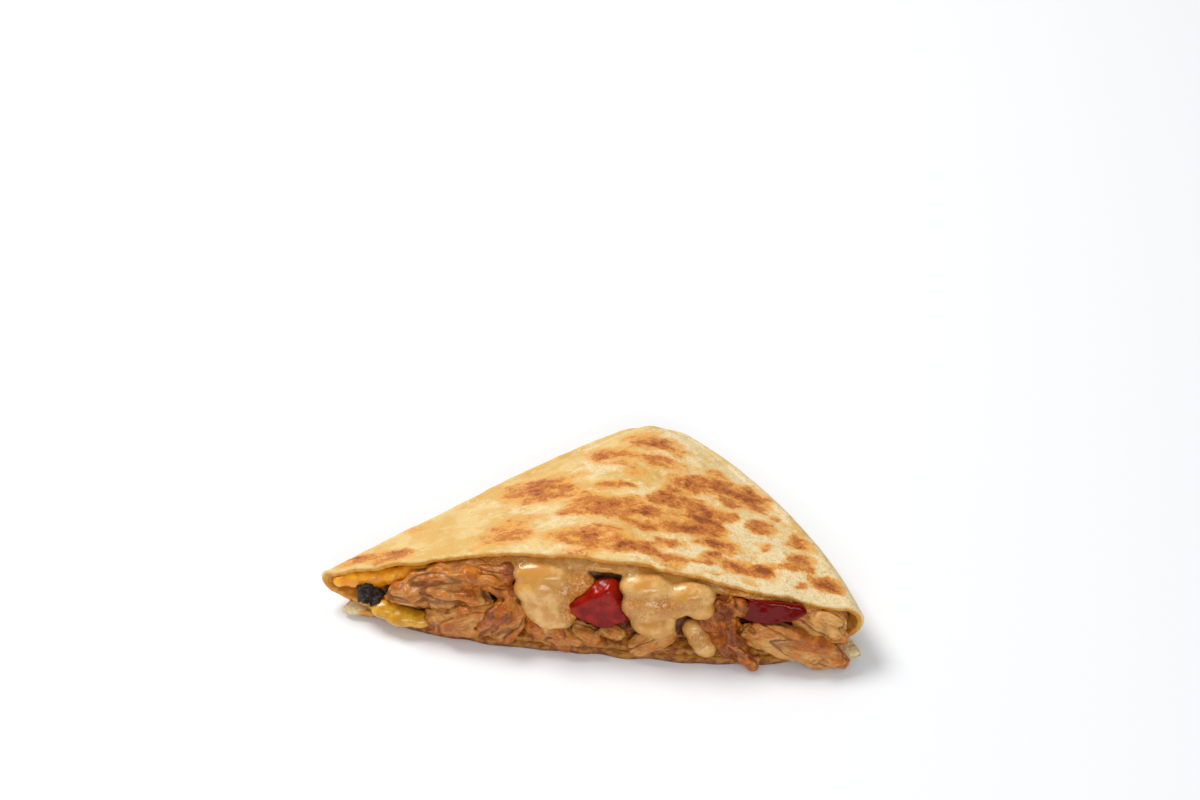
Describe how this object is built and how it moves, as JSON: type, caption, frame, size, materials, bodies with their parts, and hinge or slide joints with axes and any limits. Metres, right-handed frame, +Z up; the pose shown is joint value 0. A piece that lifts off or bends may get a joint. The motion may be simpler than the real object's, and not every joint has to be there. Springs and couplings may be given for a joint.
{
  "type": "quesadilla wedge",
  "caption": "Triangular wedge of a griddled, folded tortilla filled with chicken, melted cheese and tomato, with the filling showing at its long cut side.",
  "frame": {"origin": "centre of the bounding box's bottom face, on the surface that the wedge lies on", "axes": "+X to the right along the cut side, +Y from the cut side to the folded back corner, +Z up"},
  "size_m": [0.161, 0.0908, 0.0307],
  "materials": {
    "tortilla": "floury griddled flatbread with browned spots",
    "cheese": "melted white cheese, glossy",
    "cheddar": "melted yellow cheese, glossy",
    "chicken": "seasoned cooked chicken, moist",
    "filling": "packed chicken and cheese, moist",
    "tomato": "wet cut tomato",
    "char": "charred crumb"
  },
  "bodies": {
    "root": {"tortilla": "tortilla", "under_flap": "tortilla", "cheese": "cheese", "filling": "filling", "cheddar_bead": "cheddar", "cheddar_lining": "cheddar", "cheddar_pool": "cheddar", "chicken_charred": "chicken", "chicken_corner": "chicken", "chicken_crown": "chicken", "chicken_finger": "chicken", "chicken_fold": "chicken", "chicken_long": "chicken", "chicken_pale": "chicken", "chicken_red": "chicken", "chicken_slab": "chicken", "chicken_slant": "chicken", "chicken_tail": "chicken", "tomato_middle": "tomato", "tomato_right": "tomato", "charred_bit": "char"}
  },
  "joints": []
}
